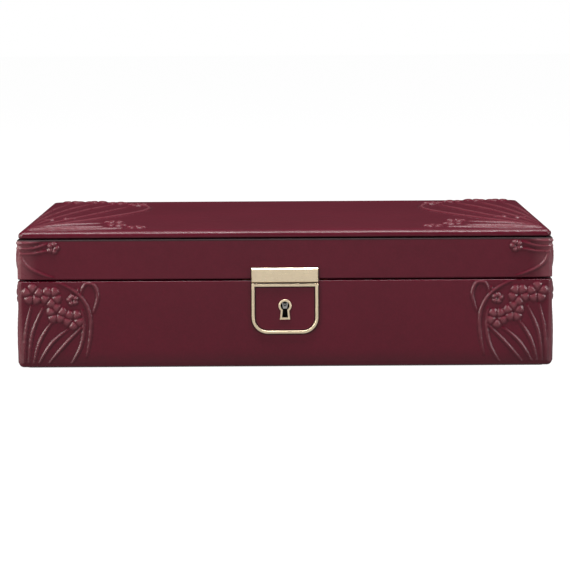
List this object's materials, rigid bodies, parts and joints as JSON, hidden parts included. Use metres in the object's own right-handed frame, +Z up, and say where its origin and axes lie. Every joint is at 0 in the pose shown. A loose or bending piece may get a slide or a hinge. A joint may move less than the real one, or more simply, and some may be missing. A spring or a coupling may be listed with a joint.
{
  "type": "jewellery case",
  "caption": "Rectangular leather jewellery case with a hinged lid, gilt lock with keyhole, mirror in the lid, and a lift-out tray with ring rolls.",
  "frame": {"origin": "centre of the footprint, on the surface that the case stands on", "axes": "+X to the right along the front, -Y out of the front with the lock, +Z up"},
  "size_m": [0.3, 0.2045, 0.0765],
  "materials": {
    "leather": "semi-gloss calf, dark burgundy, embossed",
    "board": "raw fibreboard",
    "gilt_metal": "polished pale gold plating",
    "brass": "satin brass",
    "lock_steel": "plain steel",
    "mirror": "silvered glass",
    "foam": "thin foam",
    "felt": "dark felt",
    "lining": "burgundy suede cloth",
    "ribbon": "satin ribbon"
  },
  "bodies": {
    "base": {"base_carcass": "board", "base_divider_cross": "lining", "base_divider_left": "lining", "base_divider_right": "lining", "base_felt": "felt", "base_filler": "board", "base_floor_pad": "lining", "base_leather": "leather", "base_ledge_left": "lining", "base_ledge_right": "lining", "base_lining": "lining", "hinge_base_leaf_left": "brass", "hinge_base_leaf_right": "brass", "hinge_base_screws": "brass", "hinge_pin_left": "brass", "hinge_pin_right": "brass", "lock_backplate": "lock_steel", "lock_case": "lock_steel", "lock_drill_pin": "lock_steel", "lock_escutcheon": "gilt_metal", "lock_frame": "gilt_metal", "lock_inlay": "leather", "lock_rivets": "lock_steel", "lock_screws": "brass", "lock_selvage": "brass", "lock_spring": "lock_steel", "lock_ward": "lock_steel"},
    "lid": {"hinge_lid_leaf_left": "brass", "hinge_lid_leaf_right": "brass", "hinge_lid_screws": "brass", "lid_carcass": "board", "lid_ceiling": "lining", "lid_leather": "leather", "lid_lining": "lining", "lid_mirror": "mirror", "lid_mirror_frame": "lining", "lid_plaque": "gilt_metal", "lid_strike": "brass", "lid_top_board": "board", "lid_top_foam": "foam", "lid_top_leather": "leather", "strike_screws": "brass"},
    "lock_bolt": {"lock_bolt": "lock_steel"},
    "tray": {"ring_roll_1": "lining", "ring_roll_2": "lining", "ring_roll_3": "lining", "ring_roll_4": "lining", "ring_roll_5": "lining", "ring_roll_6": "lining", "ring_roll_7": "lining", "ring_roll_8": "lining", "tray_cross_left": "lining", "tray_cross_middle": "lining", "tray_cross_right_back": "lining", "tray_cross_right_front": "lining", "tray_divider_left": "lining", "tray_divider_right": "lining", "tray_shell": "lining", "tray_tab_left": "ribbon", "tray_tab_right": "ribbon"}
  },
  "joints": [
    {"name": "lid_hinge", "type": "hinge", "parent": "base", "child": "lid", "pos_m": [0, 0.101, 0.0497], "axis": [-1, 0, 0], "range_deg": [0, 100]},
    {"name": "lock_bolt_slide", "type": "slide", "parent": "base", "child": "lock_bolt", "axis": [1, 0, 0], "range_m": [0, 0.0035]},
    {"name": "tray_lift", "type": "slide", "parent": "base", "child": "tray", "axis": [0, 0, 1], "range_m": [0, 0.014]}
  ]
}
